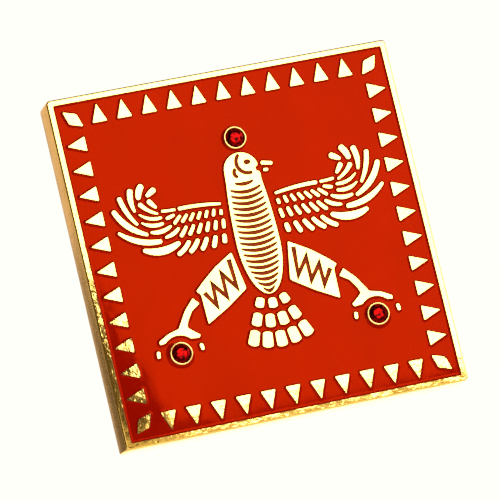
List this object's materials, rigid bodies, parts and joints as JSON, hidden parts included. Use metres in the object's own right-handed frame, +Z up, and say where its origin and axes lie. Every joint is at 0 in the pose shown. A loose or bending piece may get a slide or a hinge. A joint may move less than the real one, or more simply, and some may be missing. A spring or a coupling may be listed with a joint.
{
  "type": "cap badge",
  "caption": "Square gold and red enamel badge with a displayed bird, set stones and butterfly clutches on its back posts.",
  "frame": {"origin": "centre of the plate's flat back face", "axes": "+Y out of the back face along the posts, -Y out of the enamelled face, +Z up towards the bird's head, +X to the right as the face is seen"},
  "size_m": [0.03, 0.0112, 0.03],
  "materials": {
    "gold_plate": "bright gold plating over struck brass, polished, with fine brush marks",
    "red_enamel": "opaque glossy red enamel, ground nearly flush with the metal",
    "gold_cup": "bright gold plating",
    "red_stone": "faceted dark red glass with a foil back",
    "steel_post": "plain bright steel",
    "solder": "satin solder",
    "brass_clutch": "pressed brass, satin",
    "spring_steel": "plain spring wire"
  },
  "bodies": {
    "badge": {"base_plate": "gold_plate", "breast_stripe_01": "red_enamel", "breast_stripe_02": "red_enamel", "breast_stripe_03": "red_enamel", "breast_stripe_04": "red_enamel", "breast_stripe_05": "red_enamel", "breast_stripe_06": "red_enamel", "breast_stripe_07": "red_enamel", "breast_stripe_08": "red_enamel", "breast_stripe_09": "red_enamel", "breast_stripe_10": "red_enamel", "breast_stripe_11": "red_enamel", "breast_stripe_12": "red_enamel", "breast_stripe_13": "red_enamel", "breast_stripe_14": "red_enamel", "breast_stripe_15": "red_enamel", "breast_stripe_16": "red_enamel", "breast_stripe_17": "red_enamel", "breast_stripe_18": "red_enamel", "breast_stripe_19": "red_enamel", "enamel_field": "red_enamel", "head_cheek": "red_enamel", "head_curl": "red_enamel", "head_eye": "red_enamel", "post_left": "steel_post", "post_right": "steel_post", "solder_ring_left": "solder", "solder_ring_right": "solder", "stone_crest": "red_stone", "stone_cup_crest": "gold_cup", "stone_cup_left_claw": "gold_cup", "stone_cup_right_claw": "gold_cup", "stone_left_claw": "red_stone", "stone_right_claw": "red_stone", "thigh_zigzag_left": "red_enamel", "thigh_zigzag_right": "red_enamel"},
    "clutch_left": {"clutch_disc_left": "brass_clutch"},
    "case_left": {"clutch_case_left": "brass_clutch", "clutch_spring_left": "spring_steel"},
    "wing_left_upper": {"clutch_wing_left_upper": "brass_clutch"},
    "wing_left_lower": {"clutch_wing_left_lower": "brass_clutch"},
    "clutch_right": {"clutch_disc_right": "brass_clutch"},
    "case_right": {"clutch_case_right": "brass_clutch", "clutch_spring_right": "spring_steel"},
    "wing_right_upper": {"clutch_wing_right_upper": "brass_clutch"},
    "wing_right_lower": {"clutch_wing_right_lower": "brass_clutch"}
  },
  "joints": [
    {"name": "clutch_slide_left", "type": "slide", "parent": "badge", "child": "clutch_left", "axis": [0, 1, 0], "range_m": [-0.00215, 0.006]},
    {"name": "case_turn_left", "type": "hinge", "parent": "clutch_left", "child": "case_left", "pos_m": [-0.0065, 0.0022, 0.002], "axis": [0, 1, 0], "continuous": true},
    {"name": "wing_pinch_left_upper", "type": "hinge", "parent": "case_left", "child": "wing_left_upper", "pos_m": [-0.0065, 0.00375, 0.005], "axis": [-1, 0, 0], "range_deg": [0, 12], "stiffness_Nm_per_rad": 0.00005},
    {"name": "wing_pinch_left_lower", "type": "hinge", "parent": "case_left", "child": "wing_left_lower", "pos_m": [-0.0065, 0.00375, -0.001], "axis": [1, 0, 0], "range_deg": [0, 12], "stiffness_Nm_per_rad": 0.00005},
    {"name": "clutch_slide_right", "type": "slide", "parent": "badge", "child": "clutch_right", "axis": [0, 1, 0], "range_m": [-0.00215, 0.006]},
    {"name": "case_turn_right", "type": "hinge", "parent": "clutch_right", "child": "case_right", "pos_m": [0.0065, 0.0022, 0.002], "axis": [0, 1, 0], "continuous": true},
    {"name": "wing_pinch_right_upper", "type": "hinge", "parent": "case_right", "child": "wing_right_upper", "pos_m": [0.0065, 0.00375, 0.005], "axis": [-1, 0, 0], "range_deg": [0, 12], "stiffness_Nm_per_rad": 0.00005},
    {"name": "wing_pinch_right_lower", "type": "hinge", "parent": "case_right", "child": "wing_right_lower", "pos_m": [0.0065, 0.00375, -0.001], "axis": [1, 0, 0], "range_deg": [0, 12], "stiffness_Nm_per_rad": 0.00005}
  ],
  "couplings": [
    {"joint": "wing_pinch_left_lower", "follows": "wing_pinch_left_upper", "ratio": 1},
    {"joint": "wing_pinch_right_lower", "follows": "wing_pinch_right_upper", "ratio": 1}
  ]
}
